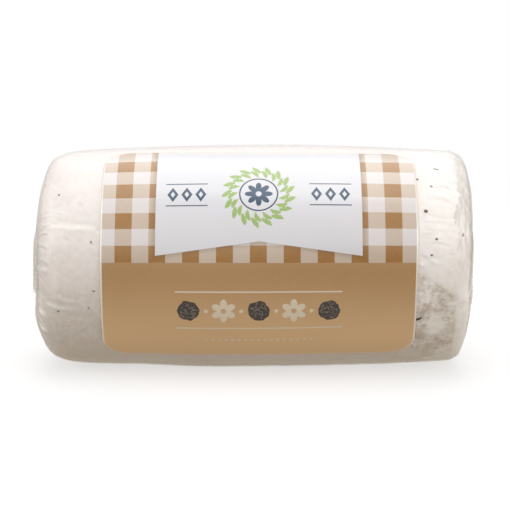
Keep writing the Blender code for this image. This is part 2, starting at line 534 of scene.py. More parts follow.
def turned(name, side_steps, end_steps, steps_round):
    """A closed turned skin and its points, still plain and in the log's own axes."""
    bm = bmesh.new()
    last = None
    for along, radius in half_outline(side_steps, end_steps):
        vert = bm.verts.new((along, 0.0, radius))
        if last is not None:
            bm.edges.new((last, vert))
        last = vert
    bmesh.ops.spin(bm, geom=bm.verts[:] + bm.edges[:], cent=(0, 0, 0), axis=(1, 0, 0),
                   angle=math.tau, steps=steps_round, use_merge=True)
    bmesh.ops.remove_doubles(bm, verts=bm.verts, dist=0.002 * MM)
    bmesh.ops.recalc_face_normals(bm, faces=bm.faces)
    mesh = mesh_from(name, bm)
    points = read_points(mesh)
    angle = turn_of(points[:, 1], points[:, 2])
    radius = np.hypot(points[:, 1], points[:, 2])
    angle = angle - DRAWN_IN * np.sin(angle - FRONT_ANGLE)
    plain = np.column_stack((points[:, 0], -radius * np.cos(angle), radius * np.sin(angle)))
    return mesh, plain


# %% [markdown]
# Soft, random unevenness comes up often: in the paste, in the film's gathers, in the label.
# Blender's noise could give it point by point, but slowly. A sum of waves in random directions is
# as smooth, and numpy works it out for every point at once.

# %% Lumps
def lumps(points, scale, seed, octaves=3):
    """Smooth lumpy noise between about -1 and 1, from sums of waves in random directions."""
    draw = np.random.default_rng(seed)
    total = np.zeros(len(points))
    weight = 1.0
    for _ in range(octaves):
        for _ in range(7):
            direction = draw.normal(size=3)
            direction /= np.linalg.norm(direction)
            rate = math.tau * scale * draw.uniform(0.7, 1.3)
            phase = draw.uniform(0, math.tau)
            total += weight * np.sin(points @ direction * rate + phase) / 7 ** 0.5
        scale *= 2.1
        weight *= 0.5
    return total


# %% [markdown]
# Folds of the film
#
# The film is one tight skin. It shows by its folds: a few long creases that run from the welded
# ends along the sides, fine ones beside the label, small blisters, and rings drawn tight round both
# shoulders. The cheese is soft, so it takes the print of each of them. They could be painted in a
# bump, but then the outline and the exported mesh would be smooth, so they are relief in both
# skins. The lists give each fold that the photograph shows its place, its size and its height.

# %% Folds in the photograph
# Each crease: from and to along the log in mm, angle from and to in degrees, width, height and bend
# in mm
LEFT_CREASES = (
    (-39.3, -32.8, 34.1, 26.6, 0.60, -0.05, 0.2), (-39.4, -34.6, 30.2, 26.4, 0.65, -0.10, 0.3),
    (-38.2, -27.9, 24.6, 21.2, 1.00, 0.12, -0.2), (-39.5, -36.2, 23.3, 23.5, 0.55, -0.11, 0.35),
    (-39.5, -37.3, 19.1, 19.2, 0.55, -0.12, 0.25), (-40.2, -37.6, 14.0, 10.0, 0.60, -0.12, 0.3),
    (-39.6, -37.4, 5.0, 1.0, 0.55, -0.07, 0.3), (-40.0, -37.5, -4.0, -10.0, 0.60, -0.08, 0.3),
    (-38.2, -31.8, -19.8, -20.6, 0.80, 0.10, -0.4), (-35.8, -31.6, -13.7, -17.5, 0.65, 0.06, -0.4),
    (-33.5, -29.5, -27.0, -29.0, 0.60, 0.04, 0.3), (-39.4, -37.6, -34.0, -40.0, 0.55, 0.09, 0.2),
)
RIGHT_CREASES = (
    (33.0, 36.4, 44.6, 42.8, 0.55, -0.15, 0.9), (32.7, 36.8, 38.8, 34.2, 1.00, -0.10, 0.2),
    (30.3, 36.2, 24.6, 23.4, 0.45, -0.05, 0.3), (30.5, 35.9, 21.4, 20.6, 0.45, -0.06, -0.2),
    (30.5, 35.0, 17.6, 19.0, 0.45, -0.05, 0.2), (31.7, 34.5, 4.9, 3.1, 0.75, 0.07, 0.1),
    (31.7, 35.8, 13.9, 11.9, 0.50, -0.05, 0.3), (30.1, 33.0, 8.0, 1.5, 0.60, -0.08, 0.3),
    (30.2, 36.5, 30.0, 27.5, 0.50, -0.04, -0.3), (30.4, 35.5, -8.0, -15.0, 0.50, -0.06, 0.5),
    (33.0, 37.0, -25.0, -18.0, 0.55, 0.07, -0.5), (31.0, 35.0, -30.0, -36.0, 0.50, 0.06, 0.3),
    (30.25, 30.3, 42.0, -4.0, 0.40, 0.05, 0.05),
)
# Each blister: along the log in mm, angle in degrees, its reach along and round in mm, height in mm
BLISTERS = (
    (-38.6, -28.5, 0.90, 0.85, 0.27), (-38.3, -41.0, 0.60, 0.60, 0.21), (30.62, 3.1, 0.42, 0.36, 0.22),
    (-27.75, 19.6, 0.30, 0.50, 0.12), (33.8, -26.9, 0.80, 0.60, 0.08), (33.0, -37.4, 1.30, 0.80, 0.08),
    (34.7, -33.9, 1.00, 0.80, 0.07), (37.6, -34.1, 0.60, 0.60, 0.09), (36.5, -60.6, 0.80, 0.50, 0.09),
)
# Each ring round the film's shoulders: along the log in mm, its wander, width and height in mm
RINGS = (
    (37.25, 0.12, 0.60, 0.15), (38.35, 0.24, 0.50, -0.07), (39.2, 0.22, 0.45, 0.07),
    (-38.75, 0.16, 0.45, 0.06), (-37.4, 0.20, 0.50, -0.03),
)

print("creases:", len(LEFT_CREASES + RIGHT_CREASES), "blisters:", len(BLISTERS), "rings:", len(RINGS))

# %% [markdown]
# Each kind of fold has one section. A crease is a ridge with a groove beside it, laid along a
# slightly bent line on the unrolled side of the log, and it fades at both ends. A blister is a
# round bump with air under it. A ring goes all the way round, and wanders and swells a little as it
# goes.

# %% Sections of the folds
def ridge_and_groove(offset, width):
    """Section of a fold in the film: a ridge with a shallower groove beside it."""
    return np.exp(-(offset / width * 2) ** 2) - 0.6 * np.exp(-((offset - width) / width * 2) ** 2)


def crease(along, angle, spec):
    """Height of one crease: a ridge and a groove beside it, fading at both ends."""
    start, stop, angle_start, angle_stop, width, height, bend = spec
    start, stop, width, height, bend = (value * MM for value in (start, stop, width, height, bend))
    begin = np.array([start, math.radians(angle_start) * RADIUS])
    last = np.array([stop, math.radians(angle_stop) * RADIUS])
    run = last - begin
    length = np.linalg.norm(run)
    run = run / length
    middle_turn = (begin[1] + last[1]) / 2 / RADIUS
    round_it = nearest_turn(angle - middle_turn) * RADIUS + middle_turn * RADIUS
    x = along - begin[0]
    y = round_it - begin[1]
    part = (x * run[0] + y * run[1]) / length
    side = -x * run[1] + y * run[0] - bend * np.sin(np.clip(part, 0, 1) * math.pi)
    fade = np.clip(part / 0.12, 0, 1) * np.clip((1 - part) / 0.35, 0, 1)
    return height * fade * ridge_and_groove(side, width)


def blister(along, angle, spec):
    """Height of one small bulge with air under it."""
    place, turn, reach_along, reach_round, height = spec
    x = (along - place * MM) / (reach_along * MM)
    y = nearest_turn(angle - math.radians(turn)) * RADIUS / (reach_round * MM)
    return height * MM * np.exp(-x * x - y * y)


def ring(along, angle, spec):
    """Height of one ring of film drawn tight round a shoulder."""
    place, wander, width, height = (value * MM for value in spec)
    path = place + wander * (np.sin(3 * angle + place / MM) + 0.5 * np.sin(7 * angle))
    strength = 0.65 + 0.35 * np.sin(5 * angle + 2 * place / MM)
    return height * strength * np.exp(-((along - path) / width * 2) ** 2)


# %% [markdown]
# The film is gathered where the photograph doesn't show it, too. The back and the underside get
# creases by a seeded draw, in the way of those in front. Each end face gets pleats, which run out
# from its middle and from the corners of its folded weld to the shoulder.

# %% Folds out of sight
HIDDEN_CREASES = 34
CREASE_SEED = 23
# Where pleats run out from the corners of a folded weld, in degrees round the end face
WELD_PLEATS = (21.0, -19.0, 159.0, 200.0)
PLEATS, PLEAT_SEED = 15, 41
PLEAT_STOP = 19.6 * MM


def hidden_creases():
    """Creases for the sides that the photograph doesn't show, in the way of those that it does."""
    draw = random.Random(CREASE_SEED)
    specs = []
    for _ in range(HIDDEN_CREASES):
        side = draw.choice((-1, 1))
        far = draw.uniform(39.5, 41.0)
        near = far - draw.uniform(4.0, 15.0)
        turn = draw.choice((draw.gauss(160.0, 22.0), draw.uniform(85.0, 300.0)))
        specs.append((side * far, side * near, turn, turn + draw.uniform(-7, 7),
                      draw.uniform(0.55, 0.9), draw.uniform(0.05, 0.12), draw.uniform(-0.7, 0.7)))
    return tuple(specs)


def end_pleats():
    """The pleats of both end faces: side, angle, start from the middle, width and height, and curl."""
    draw = random.Random(PLEAT_SEED)
    specs = []
    for side in (-1, 1):
        for place in range(PLEATS + len(WELD_PLEATS)):
            turn = 360.0 * (place + draw.uniform(-0.35, 0.35)) / PLEATS
            start = draw.uniform(11.0, 16.5)
            if place >= PLEATS:
                turn = WELD_PLEATS[place - PLEATS] + draw.uniform(-2, 2)
                start = 14.5
            specs.append((side, math.radians(turn), start * MM, draw.uniform(0.9, 1.5) * MM,
                          draw.uniform(0.05, 0.12) * MM, draw.uniform(-0.25, 0.25)))
    return specs


def pleat(along, radius, angle, spec):
    """Height of one pleat that runs out over an end face to its shoulder."""
    side, turn, start, width, height, curl = spec
    out = radius - start
    offset = nearest_turn(angle - turn - curl * out / RADIUS) * radius
    fade = np.clip(out / (3 * MM), 0, 1) * np.clip((PLEAT_STOP - radius) / (1.5 * MM), 0, 1)
    return height * fade * ridge_and_groove(offset, width) * (side * along > 0.9 * HALF_LENGTH)


CREASES = LEFT_CREASES + RIGHT_CREASES + hidden_creases()
END_PLEATS = end_pleats()
print("all creases:", len(CREASES), "pleats:", len(END_PLEATS))

# %% [markdown]
# Under the label and the welds
#
# Two things change this relief. The label holds the film smooth, so the folds fade out under it. A
# weld that is folded down on an end face stands a little off it, and the soft paste fills the space
# between. The skins could pass under it unchanged, but then a hollow gap would show at its edge, so
# they have a pad there, almost as high as the weld is proud.

# %% Covers and pads
LABEL_LEFT, LABEL_RIGHT = -27.60 * MM, 29.85 * MM
LABEL_BOTTOM, LABEL_TOP = math.radians(-51.9), math.radians(73.5)
LABEL_CORNER = 4.5 * MM
COVER_SHARE, COVER_SLOPE = 0.9, 0.8 * MM
FLAP_WIDTH, FLAP_TOP, FLAP_CORNER = 30.0 * MM, 6.0 * MM, 3.0 * MM
FLAP_PROUD_TOP, FLAP_PROUD_BOTTOM, FOLD_PROUD = 0.35 * MM, 0.70 * MM, 0.10 * MM
RIB_PITCH, RIB_HEIGHT = 0.95 * MM, 0.05 * MM
PAD_SHARE = 0.84
# Each folded weld: its end, how far down it reaches, and how much its foot is tucked in
FOLDED_WELDS = ((LEFT_END, -5.4 * MM, 0.1), (RIGHT_END, -7.6 * MM, 0.9))


def uncovered(along, angle):
    """How freely the film folds: fully in the open, hardly under the label."""
    round_it = nearest_turn(angle - (LABEL_TOP + LABEL_BOTTOM) / 2) * RADIUS
    past_side = np.abs(along - (LABEL_LEFT + LABEL_RIGHT) / 2) - (LABEL_RIGHT - LABEL_LEFT) / 2
    past_top = np.abs(round_it) - (LABEL_TOP - LABEL_BOTTOM) * RADIUS / 2
    past = np.maximum(past_side, past_top)
    return 1 - COVER_SHARE * np.clip(0.5 - past / COVER_SLOPE, 0, 1)


def strip_proud(across, down, tucked):
    """How far a folded weld stands off its end face, across it and at a share of the way down."""
    fold = np.clip(down / 0.16, 0, 1) ** 0.5
    foot = 1 - tucked * np.clip((down - 0.75) / 0.25, 0, 1) ** 2
    side = 1 - 0.85 * np.clip(np.abs(across) / (0.15 * FLAP_WIDTH) - 2.1, 0, 1) ** 2
    proud = FLAP_PROUD_TOP + (FLAP_PROUD_BOTTOM - FLAP_PROUD_TOP) * down - RIB_HEIGHT
    return FOLD_PROUD + (proud - FOLD_PROUD) * fold * foot * side


def weld_pad(plain):
    """Height of the paste where it fills the space under the folded welds."""
    along, across, up = plain.T
    pad = np.zeros(len(plain))
    for end, bottom, tucked in FOLDED_WELDS:
        down = np.clip((FLAP_TOP - up) / (FLAP_TOP - bottom), 0, 1)
        within = np.clip((FLAP_WIDTH / 2 - np.abs(across)) / (1.6 * MM), 0, 1)
        within *= np.clip((FLAP_TOP - up) / (1.2 * MM), 0, 1)
        within *= np.clip((up - bottom) / (0.8 * MM), 0, 1)
        within *= end["side"] * along > 0.94 * HALF_LENGTH
        pad += PAD_SHARE * strip_proud(across, down, tucked) * within
    return pad


# %% [markdown]
# All the relief is summed for a whole skin at once. The same sum says where the film stands off the
# paste, on blisters and on the crests of creases, because the paste is drier and whiter there. That
# whitening also serves as a painted highlight on the blisters and crests.

# %% All the relief
CREST_HEIGHT, CREST_DRYNESS_AND_HIGHLIGHT = 0.09 * MM, 0.55


def film_relief(plain):
    """Height of the relief at a plain skin's points, and how much the paste is whitened there, for drier
    paste and as a painted highlight.
    """
    along = plain[:, 0]
    radius = np.hypot(plain[:, 1], plain[:, 2])
    angle = turn_of(plain[:, 1], plain[:, 2])
    folds = sum(crease(along, angle, spec) for spec in CREASES)
    air = [blister(along, angle, spec) for spec in BLISTERS]
    rings = sum(ring(along, angle, spec) for spec in RINGS)
    here = np.clip(radius / RADIUS * 3 - 1.6, 0, 1) * uncovered(along, angle)
    # Whitening under blisters and on crests: drier paste, and a painted highlight there.
    dry_and_highlight = sum(bulge / (spec[4] * MM) for bulge, spec in zip(air, BLISTERS))
    dry_and_highlight = dry_and_highlight + CREST_DRYNESS_AND_HIGHLIGHT * np.clip((folds + rings * 0.5) / CREST_HEIGHT, 0, 1)
    ends = weld_pad(plain) + sum(pleat(along, radius, angle, spec) for spec in END_PLEATS)
    return (folds + sum(air) + rings) * here + ends, np.clip(dry_and_highlight * here, 0, 1)


# %% [markdown]
# The cheese
#
# Fresh goat cheese is a white paste, pressed smooth by the film but never quite even: it has
# shallow lumps, small pits where it crumbles, and damp grey patches where whey gathers under the
# film. It could be a plain white solid, but its unevenness shows through the film at both ends of
# the label. So it has its own skin a little under the film's, with lumps and pits in the mesh and
# the fine grain in a bump. How dry the paste is at each point goes with the mesh as an attribute,
# and the whitening that it gives also paints highlights on blisters and crests.

# %% Cheese paste
CHEESE_DEPTH, FILM_GAP = 0.16 * MM, 0.06 * MM
LUMP_HEIGHT, PIT_DEPTH = 0.030 * MM, 0.10 * MM

paste_mesh, plain = turned("cheese_paste", side_steps=170, end_steps=40, steps_round=320)
paste_points = settled(plain)
write_points(paste_mesh, paste_points)
paste_relief = -CHEESE_DEPTH + LUMP_HEIGHT * lumps(paste_points, 170.0, seed=5)
pits = np.clip(lumps(paste_points, 420.0, seed=9, octaves=2) - 1.25, 0, 1)
paste_relief -= PIT_DEPTH * pits
film_folds, dryness_and_highlight = film_relief(plain)
paste_relief = np.minimum(paste_relief, -FILM_GAP) + film_folds
paste_points = paste_points + normals_of(paste_mesh) * paste_relief[:, None]
write_points(paste_mesh, to_floor(paste_points, 0.08 * MM))
# The attribute whitens drier paste and also paints highlights on blisters and crests.
paste_mesh.attributes.new("dry_and_highlight", "FLOAT", "POINT").data.foreach_set("value", dryness_and_highlight.astype(np.float32))
cheese = shown("cheese_paste", paste_mesh)

# %% [markdown]
# The cheese's finish is laid up in thin layers of colour, each with a soft mask made from the place
# and from noise. One noise could tint the whole log, but the paste differs from place to place. The
# first layers are the paste's tones with painted light and shade: a warm white that slow noise makes
# pinker or greyer, paler at the right end, which is painted light, and duller over the top and low
# down away from the right end, which is painted shade.

# %% Tones of the paste
PASTE = (0.855, 0.795, 0.785)
# Paler paste at the right end: painted light.
PASTE_RIGHT_PAINTED_LIGHT = (0.97, 0.925, 0.91)
PASTE_WARM = (0.81, 0.74, 0.675)
PASTE_CREAM = (0.85, 0.81, 0.72)
# Duller over the top: painted shade.
PASTE_TOP_PAINTED_SHADE = (0.78, 0.715, 0.705)
# Duller low down, away from the right end: painted shade.
PASTE_LOW_PAINTED_SHADE = (0.71, 0.655, 0.61)
PASTE_MOTTLE = (0.70, 0.64, 0.59)


def paste_tones(finish, along, up, slow, smear, mottle):
    """A warm white with warmer, creamier and greyer patches, painted light at the right end and painted
    shade over the top and low down.
    """
    right = along.rise(24 * MM, 30 * MM)
    # Mask of the painted shade low down, which leaves out the right end.
    low = up.rise(20 * MM, 12 * MM) * (1 - right) * up.rise(2 * MM, 7 * MM)
    # Painted light: the right end paler.
    colour = finish.mix(along.rise(26 * MM, 34 * MM), PASTE, PASTE_RIGHT_PAINTED_LIGHT)
    colour = finish.mix(slow.rise(0.42, 0.70) * 0.35, colour, PASTE_WARM)
    colour = finish.mix(smear.rise(0.50, 0.72) * 0.25, colour, PASTE_CREAM)
    # Painted shade over the top.
    colour = finish.mix(up.rise(28 * MM, 39 * MM) * (0.9 - right * 0.3), colour, PASTE_TOP_PAINTED_SHADE)
    # Painted shade low down, mottled.
    colour = finish.mix(low * (mottle.rise(0.35, 0.62) * 0.5 + 0.45), colour, PASTE_LOW_PAINTED_SHADE)
    return finish.mix(mottle.rise(0.40, 0.66) * (0.34 - right * 0.19), colour, PASTE_MOTTLE)


# %% [markdown]
# Round both shoulders the film is gathered, and the paste looks greyer through its many small
# folds. The right end's band begins at a ragged line and is streaked along the gathers. It is grey
# at the top and painted paler lower down, painted light that evens out its tone from top to bottom.
# The left end's is fainter.

# %% Gathered bands
BAND_FROM = 37.1 * MM
BAND_RAGGED = 4.5 * MM
PASTE_BAND = (0.64, 0.60, 0.575)
# Paler foot of the right band: painted light.
PASTE_BAND_LOW_PAINTED_LIGHT = (0.97, 0.945, 0.915)


def right_band(along, smear):
    """Mask of the gathered film at the right shoulder."""
    ragged = along + (smear - 0.5) * BAND_RAGGED
    return ragged.rise(BAND_FROM, BAND_FROM + 0.35 * MM)


def gathered_bands(finish, colour, place, along, up, smear, band):
    """The greyer bands at both shoulders, over a colour, the right one painted paler lower down as
    painted light.
    """
    streaks = finish.noise(place, 1500.0, 3.0, 0.65, stretch=(1.0, 0.24, 0.24))
    # Painted light: the right band paler lower down, grey at the top.
    band_grey_and_painted_light = finish.mix(up.rise(14 * MM, 27 * MM), PASTE_BAND_LOW_PAINTED_LIGHT, PASTE_BAND)
    colour = finish.mix(band * (streaks.rise(0.38, 0.60) * 0.80 + 0.26), colour, band_grey_and_painted_light)
    left_band = along.rise(-36 * MM, -38 * MM) * up.rise(34 * MM, 28 * MM) * up.rise(3 * MM, 8 * MM)
    return finish.mix(left_band * (smear.rise(0.40, 0.60) * 0.30 + 0.38), colour, PASTE_BAND)


# %% [markdown]
# Whey gathers under the film low on the right end and along the foot. The damp part ends at a
# ragged slanting line, and two sizes of noise share it out into dry, damp and wet paste. Noise
# alone would put the blotches anywhere, so a few soft blots draw them to the places where the
# photograph has them.

# %% Damp paste
# Dry paste; the same white also paints highlights on blisters and crests.
PASTE_DRY_AND_HIGHLIGHT = (0.99, 0.96, 0.94)
PASTE_DAMP = (0.70, 0.625, 0.55)
PASTE_WET = (0.42, 0.365, 0.305)
# The upper edge of the damp part of the right end: a point of it, along and up, and how steeply it falls
DAMP_LINE = (31.0 * MM, 20.1 * MM, 0.60)
# Soft blots in the damp part: along, up, reach, and how much wetter, or drier where it is negative
BLOTS = (
    (30.6 * MM, 15.0 * MM, 2.2 * MM, 0.04), (35.3 * MM, 15.6 * MM, 2.2 * MM, 0.10),
    (31.2 * MM, 12.3 * MM, 2.2 * MM, 0.07), (33.4 * MM, 10.6 * MM, 2.8 * MM, -0.12),
    (36.9 * MM, 9.0 * MM, 2.4 * MM, 0.08), (33.5 * MM, 6.5 * MM, 3.2 * MM, 0.04),
    (32.9 * MM, 14.8 * MM, 1.8 * MM, -0.07),
)


def damp_part(finish, colour, place, along, across, up, smear, band):
    """Dry, damp and wet paste low on the right end, whey along the foot, and stray damp patches."""
    edge_along, edge_up, fall = DAMP_LINE
    line = (up - edge_up) + (along - edge_along) * fall + (smear - 0.5) * (3.0 * MM)
    zone = line.rise(0.9 * MM, -0.7 * MM) * along.rise(28 * MM, 30 * MM) * (1 - band * 0.75)
    zone = zone * across.rise(3 * MM, -6 * MM)
    soak = finish.noise(place, 330.0, 4.0, 0.7) * 0.60 + finish.noise(place, 1150.0, 4.0, 0.7) * 0.40
    for blot_along, blot_up, reach, wetter in BLOTS:
        soak = soak + away_from(along - blot_along, up - blot_up).rise(reach, 0.0) * wetter
    foot = up.rise(7.0 * MM, 4.0 * MM) * along.rise(36.5 * MM, 32.5 * MM)
    damp = (zone * soak.rise(0.42, 0.54) * 0.60).most(foot * 0.45)
    wet = zone * soak.rise(0.51, 0.61) * 0.60 * (1 - foot * 0.6)
    stray = finish.noise(place, 180.0, 5.0, 0.62).rise(0.64, 0.74) * 0.35
    colour = finish.mix(damp.most(stray), colour, PASTE_DAMP)
    colour = finish.mix(wet, colour, PASTE_WET)
    return finish.mix(zone * soak.rise(0.485, 0.42), colour, PASTE_DRY_AND_HIGHLIGHT)


# %% [markdown]
# The last layers are the dry spots under blisters and crests, whose whitening is also a painted
# highlight there, a pale rim at the foot of the right end, and a fine grain, in the colour and in a
# bump. A little light spreads under the surface.

# %% Cheese finish
PASTE_GRAIN = (0.95, 0.93, 0.90)


def cheese_finish():
    """White paste with warm, drier and damp patches, painted light and shade, and a fine grain."""
    finish = Finish(bpy.data.materials.new("cheese_paste"))
    place = finish.place()
    along, across, up = finish.parts(place)
    slow = finish.noise(place, 95.0, 4.0, 0.6)
    smear = finish.noise(place, 330.0, 4.0, 0.65, stretch=(0.45, 1.0, 1.0))
    mottle = finish.noise(place, 760.0, 3.0, 0.65)
    grain = finish.noise(place, 1500.0, 3.0, 0.6)
    band = right_band(along, smear)
    colour = paste_tones(finish, along, up, slow, smear, mottle)
    colour = gathered_bands(finish, colour, place, along, up, smear, band)
    colour = damp_part(finish, colour, place, along, across, up, smear, band)
    # Whitening for drier paste and painted highlights on blisters and crests, and the pale rim.
    dry_and_highlight = finish.add("ShaderNodeAttribute", {"attribute_name": "dry_and_highlight"}, out="Fac")
    rim = up.rise(4.8 * MM, 3.2 * MM) * along.rise(32.5 * MM, 35.5 * MM)
    colour = finish.mix(dry_and_highlight.most(rim) * 0.9, colour, PASTE_DRY_AND_HIGHLIGHT)
    colour = finish.mix(grain.rise(0.35, 0.65) * 0.10, colour, PASTE_GRAIN)
    height = grain * 0.35 + mottle * 0.35 + smear * 0.3
    return finish.surface(finish.add(
        "ShaderNodeBsdfPrincipled", {"subsurface_method": "RANDOM_WALK"}, Base_Color=colour,
        Roughness=0.55, Normal=finish.bump(height, 0.12 * MM, 0.7), Subsurface_Weight=0.12,
        Subsurface_Scale=0.0015))


paste_mesh.materials.append(cheese_finish())

# %% [markdown]
# The truffle flecks
#
# Truffle is chopped into the cheese, so its flecks lie at the surface at all angles: mostly crumbs
# well under a millimetre, a few flat flakes, and one black sliver. The photograph shows about a
# dozen at the two ends of the label, and these are set in its places, by their distance along the
# log and their angle round it. The rest of the log gets others by a seeded draw.

# %% Truffle flecks
# Where the photograph shows a fleck: along the log in mm, angle in degrees, length and width in mm,
# tilt and veil
SEEN_FLECKS = (
    (-35.54, 42.5, 0.52, 0.42, 20, 0.25), (-29.25, 14.9, 0.38, 0.55, 0, 0.55),
    (-28.88, -10.6, 0.75, 0.28, 4, 0.60), (-29.89, -20.2, 0.42, 0.38, 40, 0.60),
    (-35.40, -23.2, 0.55, 0.45, 0, 0.70), (30.15, 51.2, 0.50, 0.48, 30, 0.20),
    (32.54, 46.5, 0.52, 0.50, 80, 0.45), (31.34, 31.2, 0.82, 0.68, -40, 0.10),
    (33.20, 16.4, 0.52, 0.46, -10, 0.20), (32.35, 8.2, 0.50, 0.42, 10, 0.45),
    (37.91, 18.8, 0.40, 0.75, 0, 0.50), (33.65, 59.8, 1.30, 0.30, -18, 0.40),
    (30.36, -27.35, 1.60, 0.58, 28, 0.0),
)
HIDDEN_FLECKS = 46
FLECK_SEED = 11
print("flecks:", len(SEEN_FLECKS), "placed and", HIDDEN_FLECKS, "drawn")

# %% [markdown]
# The flecks could be dark spots in the cheese's finish, but they would be flat and blurred. So a
# fleck is a small ball of eighty faces, pushed out of shape and laid into the paste, and all of
# them are one mesh. Some lie a little deeper, and the paste over them veils them, so each crumb
# carries its own veil as an attribute.

# %% Laying the flecks
CRUMB_THICKNESS, CRUMB_LIFT = 0.20 * MM, 0.02 * MM


def lay_fleck(bm, along, angle, length, width, tilt, veil, draw):
    """Lay one crushed crumb into the paste."""
    before = set(bm.verts)
    made = bmesh.ops.create_icosphere(bm, subdivisions=2, radius=0.5)
    crumb = [vert for vert in made["verts"] if vert not in before]
    foot, ahead, round_it = over_side(
        np.array([along, along + 0.1 * MM, along]),
        np.array([angle, angle, angle + 0.1 * MM / RADIUS]), -CHEESE_DEPTH)
    along_way = Vector(ahead - foot).normalized()
    round_way = Vector(round_it - foot).normalized()
    out_way = along_way.cross(round_way)
    turn = Matrix.Rotation(math.radians(tilt), 3, "Z")
    for vert in crumb:
        vert[bm.verts.layers.float["veil"]] = veil
        shape = vert.co * (1 + draw.uniform(-0.30, 0.16))
        flat = turn @ Vector((shape.x * length, shape.y * width, 0.0))
        lift = shape.z * CRUMB_THICKNESS + CRUMB_LIFT
        vert.co = Vector(foot) + along_way * flat.x + round_way * flat.y + out_way * lift


fleck_draw = random.Random(FLECK_SEED)
flecks_bm = bmesh.new()
flecks_bm.verts.layers.float.new("veil")
for along, angle, length, width, tilt, veil in SEEN_FLECKS:
    lay_fleck(flecks_bm, along * MM, math.radians(angle), length * MM, width * MM,
              tilt, veil, fleck_draw)
for _ in range(HIDDEN_FLECKS):
    along = fleck_draw.uniform(-36.5, 36.0) * MM
    angle = math.radians(fleck_draw.uniform(95.0, 292.0))
    length = fleck_draw.uniform(0.30, 0.62) * MM * (1 + fleck_draw.random() ** 6)
    lay_fleck(flecks_bm, along, angle, length, length * fleck_draw.uniform(0.4, 0.9),
              fleck_draw.uniform(0, 180), fleck_draw.uniform(0.1, 0.7), fleck_draw)
flecks_mesh = mesh_from("truffle_flecks", flecks_bm)
write_points(flecks_mesh, to_floor(read_points(flecks_mesh), 0.02 * MM))
flecks = shown("truffle_flecks", flecks_mesh)

# %% [markdown]
# Truffle is a near-black brown with paler flesh. A single dark colour would make every crumb as
# black as the sliver, so each is mixed towards the paste by its own veil.

# %% Fleck finish
CRUMB_BLACK, CRUMB_BROWN = (0.030, 0.024, 0.018), (0.13, 0.11, 0.085)
VEIL_PASTE = (0.52, 0.46, 0.40)


def fleck_finish():
    """Near-black brown crumbs, each under its own veil of paste."""
    finish = Finish(bpy.data.materials.new("truffle_flecks"))
    mottle = finish.noise(finish.place(), 2500.0, 2.0)
    veil = finish.add("ShaderNodeAttribute", {"attribute_name": "veil"}, out="Fac")
    colour = finish.mix(mottle.rise(0.35, 0.65), CRUMB_BLACK, CRUMB_BROWN)
    colour = finish.mix(veil, colour, VEIL_PASTE)
    return finish.surface(finish.add(
        "ShaderNodeBsdfPrincipled", {}, Base_Color=colour, Roughness=0.6))


flecks_mesh.materials.append(fleck_finish())

# %% [markdown]
# The clear film
#
# Over the cheese's own skin lies the film's, with the same creases, and with two kinds of ripple
# that the cheese doesn't take: gathers round the shoulders, and a slow unevenness everywhere. The
# two skins could be one, but then the cheese would shine. With two, the paste stays matt and the
# film alone reflects.

# %% Film
GATHER_HEIGHT, RIPPLE_HEIGHT = 0.030 * MM, 0.012 * MM

film_mesh, plain = turned("clear_film", side_steps=170, end_steps=60, steps_round=330)
along = plain[:, 0]
radius = np.hypot(plain[:, 1], plain[:, 2])
angle = turn_of(plain[:, 1], plain[:, 2])
film_points = settled(plain)
write_points(film_mesh, film_points)
shoulder = np.clip((np.abs(along) - 34 * MM) / (6 * MM), 0, 1)
gather = lumps(np.column_stack((np.abs(along) * 3.2, angle * 3.0 * MM, radius * 1.6)), 260.0,
               seed=31, octaves=2)
ripple = lumps(np.column_stack((along * 0.5, angle * RADIUS, radius)), 210.0, seed=17)
waves = (GATHER_HEIGHT * gather * shoulder + RIPPLE_HEIGHT * ripple) * uncovered(along, angle)
relief = film_relief(plain)[0] + waves
film_points = film_points + normals_of(film_mesh) * relief[:, None]
write_points(film_mesh, to_floor(film_points))
film = shown("clear_film", film_mesh)

# %% [markdown]
# The film is so thin that light goes straight through it and only a share comes back as a
# reflection, more at a glancing angle. A glass shader would bend the view as if the log were solid
# glass, and a Fresnel node would take the inside of the film for the inside of thick plastic and
# turn light back there. So the film is a mix of a clear surface and a glossy one, shared out by the
# slant of the surface alone, which is the same from both sides. A faint bump of fine wrinkles
# breaks the reflections up.

# %% Film finish
FILM_TINT = (0.985, 0.985, 0.975)
FACE_ON_SHARE, GLANCING_SHARE = 0.040, 0.80


def film_finish():
    """Clear, with reflections that grow at a glancing angle."""
    finish = Finish(bpy.data.materials.new("clear_film"))
    place = finish.place()
    wrinkles = finish.noise(place, 900.0, 3.0, 0.6, stretch=(0.45, 1.0, 1.0))
    pulls = finish.noise(place, 240.0, 2.0, 0.5, stretch=(0.35, 1.0, 1.0))
    normal = finish.bump(wrinkles * 0.35 + pulls, 0.06 * MM, 0.6)
    slant = finish.add("ShaderNodeLayerWeight", {}, Blend=0.5, Normal=normal, out="Facing")
    reflected = slant ** 5 * GLANCING_SHARE + FACE_ON_SHARE
    clear = finish.add("ShaderNodeBsdfTransparent", {}, Color=FILM_TINT)
    gloss = finish.add("ShaderNodeBsdfAnisotropic", {}, Color=WHITE, Roughness=0.30, Normal=normal)
    return finish.surface(finish.add("ShaderNodeMixShader", {}, reflected, clear, gloss))


film_mesh.materials.append(film_finish())

# %% [markdown]
# The welds
#
# A film bag is closed by pressing its two layers together between hot ribbed bars. The welded strip
# at each end is folded down on the end face, and the long weld is pressed flat along the back. They
# lie on the film as strips with crisp edges and fine ribs, so each is a piece of its own: a flat
# grid with round corners, extruded into a closed sheet whose two faces are laid on the log one over
# the other.

